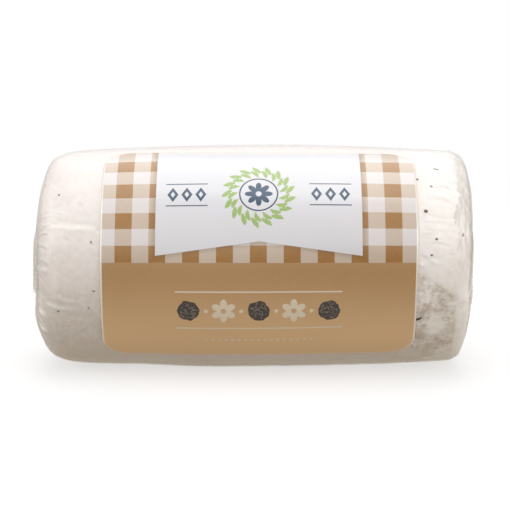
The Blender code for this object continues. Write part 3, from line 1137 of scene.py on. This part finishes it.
# %% Closed sheets
def rounded_grid(width, height, corner, columns, rows):
    """A flat grid with round corners and an even UV map, centred on its own plane."""
    bm = bmesh.new()
    uv = bm.loops.layers.uv.new("UVMap")
    bmesh.ops.create_grid(bm, x_segments=columns, y_segments=rows, size=0.5)
    straight = height / 2 - corner
    for vert in bm.verts:
        level = (vert.co.y + 0.10 * math.sin(math.tau * vert.co.y) / 1.6) * height
        into = max(0.0, abs(level) - straight)
        short = corner - math.sqrt(max(0.0, corner * corner - into * into))
        vert.co = (vert.co.x * (width - 2 * short), level, 0.0)
    for face in bm.faces:
        for loop in face.loops:
            loop[uv].uv = (loop.vert.co.x / width + 0.5, loop.vert.co.y / height + 0.5)
    return bm


def laid_sheet(name, bm, lay):
    """A closed sheet from a flat grid, whose two faces are laid on the log by a function."""
    made = bmesh.ops.extrude_face_region(bm, geom=bm.faces[:])["geom"]
    outer = [part for part in made if isinstance(part, bmesh.types.BMVert)]
    inner = list(set(bm.verts) - set(outer))
    for verts, under in ((outer, False), (inner, True)):
        flat = np.array([vert.co for vert in verts])
        for vert, point in zip(verts, to_floor(lay(flat[:, 0], flat[:, 1], under))):
            vert.co = point
    bmesh.ops.recalc_face_normals(bm, faces=bm.faces)
    return mesh_from(name, bm)


# %% [markdown]
# The end welds are folded over, so each is tight at its fold and fuller below, and its foot is
# tucked in. The seam along the back is straight. All three have the fine ribs of the bars that
# closed them.

# %% Welded strips
SEAM_ANGLE, SEAM_REACH = math.radians(176.0), 0.90
SEAM_WIDTH, SEAM_CORNER, SEAM_PROUD = 5.5 * MM, 0.8 * MM, 0.35 * MM
STRIP_THICKNESS = 0.12 * MM


def ribs(distance):
    """Fine ribs across a weld."""
    return RIB_HEIGHT * np.sin(distance / RIB_PITCH * math.tau)


def flap(name, end, bottom, tucked):
    """The welded strip folded down on one end face: tight at its fold, fuller below."""
    height = FLAP_TOP - bottom
    middle = (FLAP_TOP + bottom) / 2

    def lay(across, level, under):
        if under:
            return over_end(across, middle + level, end, 0.02 * MM)
        down = 0.5 - level / height
        loose = 0.04 * MM * np.sin(across / (5.3 * MM) + 1.0) * np.clip(down / 0.16, 0, 1)
        proud = strip_proud(across, down, tucked) + loose + ribs(level) * (down > 0.35)
        return over_end(across, middle + level, end, proud)

    bm = rounded_grid(FLAP_WIDTH, height, FLAP_CORNER, columns=60, rows=70)
    return shown(name, laid_sheet(name, bm, lay))


def seam():
    """The long weld, pressed flat along the back."""
    def lay(along, level, under):
        proud = SEAM_PROUD - RIB_HEIGHT + ribs(along) + 0.05 * MM * np.sin(along / (7.0 * MM))
        return over_side(along, SEAM_ANGLE + level / RADIUS, proud - under * STRIP_THICKNESS)

    bm = rounded_grid(2 * SEAM_REACH * HALF_LENGTH, SEAM_WIDTH, SEAM_CORNER, columns=460, rows=12)
    return shown("back_weld", laid_sheet("back_weld", bm, lay))


welds = [flap(name, *fold) for name, fold in zip(("left_weld", "right_weld"), FOLDED_WELDS)]
welds.append(seam())

# %% [markdown]
# Two layers of film welded together are hazier than one, but the cheese still shows through. So the
# welds are a pale, smooth plastic that is only partly there, a little more in one place than in
# another.

# %% Weld finish
WELD_GREY, WELD_PALE = (0.95, 0.93, 0.905), (0.99, 0.975, 0.955)


def weld_finish():
    """Two layers of film welded together: hazier than one, still letting the cheese through."""
    finish = Finish(bpy.data.materials.new("welded_film"))
    haze = finish.noise(finish.place(), 300.0, 3.0)
    colour = finish.mix(haze, WELD_GREY, WELD_PALE)
    return finish.surface(finish.add(
        "ShaderNodeBsdfPrincipled", {}, Base_Color=colour, Roughness=0.25,
        Alpha=haze.rise(0.2, 0.8) * 0.2 + 0.28))


weld_material = weld_finish()
for weld in welds:
    weld.data.materials.append(weld_material)

# %% [markdown]
# The label
#
# The label is a thin plastic sheet, stuck round the front and over the top. It is a flat grid with
# round corners, bent round the log, with its UV map kept from the flat sheet, so that the print can
# be drawn in millimetres on the label as it lies on a printer's table. It stands a hair off the
# film, follows every slow swell under it, and is paler along its cut edge.

# %% Label sheet
LABEL_WIDTH = LABEL_RIGHT - LABEL_LEFT
LABEL_HEIGHT = (LABEL_TOP - LABEL_BOTTOM) * RADIUS
LABEL_PROUD = 0.20 * MM
LABEL_THICKNESS = 0.14 * MM
LABEL_WAVE = 0.025 * MM


def lay_label(along, level, under):
    """Where the label lies, on its outer face or under it."""
    flat = np.column_stack((along, level, np.zeros_like(level)))
    wave = LABEL_WAVE * lumps(flat, 55.0, seed=3, octaves=2)
    proud = LABEL_PROUD + wave - under * LABEL_THICKNESS
    middle = (LABEL_TOP + LABEL_BOTTOM) / 2
    return over_side(along + (LABEL_LEFT + LABEL_RIGHT) / 2, middle + level / RADIUS, proud)


flat_label = rounded_grid(LABEL_WIDTH, LABEL_HEIGHT, LABEL_CORNER, columns=150, rows=130)
label_mesh = laid_sheet("printed_label", flat_label, lay_label)
label = shown("printed_label", label_mesh)
print("label:", round(LABEL_WIDTH / MM, 1), "x", round(LABEL_HEIGHT / MM, 1), "mm")

# %% [markdown]
# The print
#
# The upper half is a woven check in tan, the old cloth pattern: tan columns and tan rows, darker
# where they cross. A white banner with a notched foot hangs over it and throws a soft printed
# shadow. The lower half is a tan field that grows paler towards its foot: partly a printed
# gradient, partly painted light that lifts the shade low on the label. The ornament on both is a
# general one: a leaf wreath with a rosette and rows of lozenges on the banner, and cream flowers,
# cut truffles and thin rules on the field. Everything is a shape function of the place on the flat
# label in millimetres, so no edge is ever coarser than the render.

# %% Print sizes and colours
CHECK_WIDE, CHECK_HIGH = 3.06, 3.15
CHECK_LEFT, FIELD_TOP = 2.62, 20.92
BANNER_LEFT, BANNER_RIGHT = 9.95, 47.45
BANNER_FOOT, BANNER_NOTCH = 22.19, 24.84
BANNER_MIDDLE = (BANNER_LEFT + BANNER_RIGHT) / 2
SOFT = 0.05

CHECK_PALE = (0.665, 0.625, 0.615)
CHECK_MID = (0.535, 0.435, 0.345)
CHECK_DARK = (0.325, 0.150, 0.026)
FIELD_UPPER = (0.408, 0.238, 0.099)
# Paler foot of the field: a printed gradient and painted light together.
FIELD_FOOT_PRINT_AND_PAINTED_LIGHT = (0.79, 0.535, 0.295)
BANNER_WHITE = (0.64, 0.635, 0.66)
NAVY = (0.012, 0.050, 0.105)
LEAF_GREEN = (0.29, 0.42, 0.115)
CREAM = (0.74, 0.66, 0.52)
EDGE_CREAM = (0.90, 0.83, 0.74)
EDGE_WIDTH = 0.28
TRUFFLE_DARK = (0.050, 0.044, 0.040)
TRUFFLE_VEIN = (0.30, 0.25, 0.20)
SHADE_BROWN = (0.10, 0.05, 0.02)
SPECKLE = (0.9, 0.88, 0.85)

print("check:", CHECK_WIDE, "x", CHECK_HIGH, "mm", "banner:", round(BANNER_RIGHT - BANNER_LEFT, 1), "mm")

# %% [markdown]
# Each shape of the print is a signed distance, less than zero inside the shape. One function then
# gives any of them the same soft edge, and a ring or a rule is a distance from another shape's edge.

# %% Print helpers
def inside(distance, soft=SOFT):
    """1 where a signed distance is inside a shape, 0 outside, with a soft edge."""
    return distance.rise(soft, -soft)


def stripes(place, start, wide):
    """1 on every second stripe of a width, 0 between."""
    return ((place - start + 20 * wide) / (2 * wide) * math.tau).math("SINE").rise(-SOFT, SOFT)


def folded(place, pitch):
    """The place within one of many equal steps, from the step's middle."""
    return (place % pitch) - pitch / 2


def past_straight(place, size):
    """How far a place is past the straight part of the label's edge, across or up."""
    return (abs(place - size / 2) - (size / 2 - LABEL_CORNER / MM)).most(0.0)


def lozenge(x, y, half_wide, half_high):
    """Signed distance to a lozenge, near enough at its edge."""
    return (abs(x) / half_wide + abs(y) / half_high - 1) * min(half_wide, half_high)


def flower(x, y, reach, petals, turn=0.0):
    """Signed distance to a flower: a disc whose radius swings with the angle."""
    angle = y.math("ARCTAN2", x) * (petals / 2) + turn
    edge = abs(angle.math("COSINE")) * (reach * 0.48) + reach * 0.52
    return away_from(x, y) - edge


# %% [markdown]
# A wreath repeats one leaf. Instead of a shape for each leaf, the place is turned into an angle and
# a distance about the wreath's middle, and the angle is folded into one leaf's share, so that one
# slanted leaf is drawn in every share.

# %% Wreath
WREATH_HEIGHT, WREATH_RADIUS, WREATH_LEAVES = 34.1, 5.3, 17


def wreath(x, y):
    """Mask of a ring of slanted leaves in two rows."""
    angle = y.math("ARCTAN2", x)
    out = away_from(x, y) - WREATH_RADIUS
    share = math.tau / WREATH_LEAVES
    masks = []
    for side in (-1, 1):
        turn = angle + share * (0.25 * side + 10)
        step = folded(turn, share) * WREATH_RADIUS
        lean = step - out * 0.75
        rise = out - 0.62 * side
        masks.append(inside(away_from(lean / 0.52, rise / 0.98) - 1, 0.10))
    stem = inside(abs(out) - 0.12)
    return masks[0].most(masks[1]).most(stem)


# %% [markdown]
# The rest of the ornament repeats in the same way. Beside the wreath a row of lozenges runs between
# two rules. On the field below, cream flowers and cut truffles take turns: one fold gives the step
# from one to the next, and a fold twice as long says which of the two it is.

# %% Banner and field ornament
RING_RADIUS, ROSETTE_REACH, ROSETTE_PETALS = 3.45, 2.55, 8
ROW_HEIGHT, ROW_PITCH, ROW_MIDDLE = 34.1, 2.55, 13.1
FIELD_ROW, FIELD_PITCH = 11.8, 6.4
FLOWER_REACH, FLOWER_PETALS, SLICE_RADIUS = 2.35, 6, 2.0
RULE_RISE, RULE_REACH = 3.75, 15.2
BEAD_PITCH, BEAD_HEIGHT, BEAD_REACH = 1.2, 5.1, 10.2


def banner_ornament(finish, colour, x, y):
    """The wreath, its rosette and the rows of lozenges beside it, over the banner's white."""
    rise = y - WREATH_HEIGHT
    colour = finish.mix(wreath(x, rise), colour, LEAF_GREEN)
    ring = inside(abs(away_from(x, rise) - RING_RADIUS) - 0.14)
    rosette = inside(flower(x, rise, ROSETTE_REACH, ROSETTE_PETALS))
    rosette = rosette * (1 - inside(away_from(x, rise) - 0.55))
    beside = abs(x) - ROW_MIDDLE
    in_row = inside(abs(beside) - 1.5 * ROW_PITCH)
    step = folded(beside + 11.5 * ROW_PITCH, ROW_PITCH)
    row_rise = y - ROW_HEIGHT
    stones = inside(lozenge(step, row_rise, 1.02, 1.55))
    stones = stones * (1 - inside(lozenge(step, row_rise, 0.42, 0.66)))
    rules = inside(abs(abs(row_rise) - 2.35) - 0.11)
    return finish.mix(ring.most(rosette).most(stones.most(rules) * in_row), colour, NAVY)


def field_ornament(finish, colour, place, x, y):
    """Cream flowers and cut truffles by turns, between thin rules, over the tan field."""
    rise = y - FIELD_ROW
    within = inside(abs(x) - 2.5 * FIELD_PITCH)
    from_left = x + 12.5 * FIELD_PITCH
    step = folded(from_left, FIELD_PITCH)
    flower_turn = folded(from_left, 2 * FIELD_PITCH).rise(-0.01, 0.01)
    flowers = inside(flower(step, rise, FLOWER_REACH, FLOWER_PETALS, math.pi / 2))
    flowers = flowers * (1 - inside(away_from(step, rise) - 0.5)) * flower_turn * within
    dots = inside(away_from(abs(step) - FIELD_PITCH / 2, rise) - 0.36)
    dots = dots * inside(abs(x) - 2.2 * FIELD_PITCH)
    rules = inside(abs(abs(rise) - RULE_RISE) - 0.13) * inside(abs(x) - RULE_REACH)
    beads = inside(away_from(folded(x + 120.6, BEAD_PITCH), y - BEAD_HEIGHT) - 0.27)
    beads = beads * inside(abs(x) - BEAD_REACH)
    cream = flowers.most(dots).most(rules).most(beads)
    colour = finish.mix(cream * 0.95, colour, CREAM)
    rough_edge = finish.noise(place, 900.0, 2.0) * 0.9 - 0.45
    slice_edge = away_from(step, rise) - SLICE_RADIUS + rough_edge
    slices = inside(slice_edge, 0.08) * (1 - flower_turn) * within
    marbling = abs(finish.noise(place, 1150.0, 2.0, 0.6) - 0.5)
    veins = marbling.rise(0.035, 0.012) * slice_edge.rise(-0.15, -0.5)
    flesh = finish.mix(veins * 0.8, TRUFFLE_DARK, TRUFFLE_VEIN)
    return finish.mix(slices, colour, flesh)


# %% [markdown]
# The print is laid up in the order of a press: the check, the field, the banner's shadow, the
# banner, the ornament and the bare edge that the cutter leaves. The label itself is a satin
# plastic.

# %% Print finish
def label_print(finish):
    """The whole print, from the place on the flat label in millimetres, with painted light paling the
    field's foot.
    """
    flat = finish.add("ShaderNodeUVMap", {"uv_map": "UVMap"})
    place = finish.place()
    across, up, _ = finish.parts(flat)
    across = across * (LABEL_WIDTH / MM)
    up = up * (LABEL_HEIGHT / MM)
    columns = stripes(across, CHECK_LEFT, CHECK_WIDE)
    rows = stripes(up, FIELD_TOP, CHECK_HIGH)
    colour = finish.mix(columns.most(rows), CHECK_PALE, CHECK_MID)
    colour = finish.mix(columns * rows, colour, CHECK_DARK)
    # The field pales towards its foot: a printed gradient with painted light that lifts the shade low
    # down.
    field = finish.mix(up.rise(2.9, FIELD_TOP), FIELD_FOOT_PRINT_AND_PAINTED_LIGHT, FIELD_UPPER)
    colour = finish.mix(up.rise(FIELD_TOP + SOFT, FIELD_TOP - SOFT), colour, field)

    beside = across - BANNER_MIDDLE
    half = (BANNER_RIGHT - BANNER_LEFT) / 2
    foot = BANNER_NOTCH - abs(beside) * ((BANNER_NOTCH - BANNER_FOOT) / half)
    past_banner = (abs(beside) - half).most(foot - up)
    shade = (past_banner + 0.1).rise(1.3, -0.2) * 0.40
    colour = finish.mix(shade, colour, SHADE_BROWN)
    colour = finish.mix(inside(past_banner), colour, BANNER_WHITE)
    colour = banner_ornament(finish, colour, beside, up)
    colour = field_ornament(finish, colour, place, beside, up)
    corner = away_from(past_straight(across, LABEL_WIDTH / MM), past_straight(up, LABEL_HEIGHT / MM))
    past_edge = corner - (LABEL_CORNER / MM - EDGE_WIDTH)
    return finish.mix(inside(-past_edge) * 0.85, colour, EDGE_CREAM)


def label_finish():
    """Satin plastic with the print on its face and a paler cut edge."""
    finish = Finish(bpy.data.materials.new("printed_label"))
    colour = label_print(finish)
    speckle = finish.noise(finish.place(), 2200.0, 2.0)
    colour = finish.mix(speckle.rise(0.4, 0.7) * 0.02, colour, SPECKLE)
    slow = finish.noise(finish.place(), 120.0, 2.0)
    return finish.surface(finish.add(
        "ShaderNodeBsdfPrincipled", {}, Base_Color=colour, Roughness=slow * 0.08 + 0.20,
        Specular_IOR_Level=0.75, Normal=finish.bump(slow, 0.05 * MM, 0.5)))


label_mesh.materials.append(label_finish())

# %% [markdown]
# Hiding the solids
#
# The pieces stand for the two CAD solids, which are hidden and stay in the model for weight and contact.

# %% Hiding the solids
for piece in (cheese, flecks, film, *welds):
    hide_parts("wrapped_log")
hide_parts("front_label")
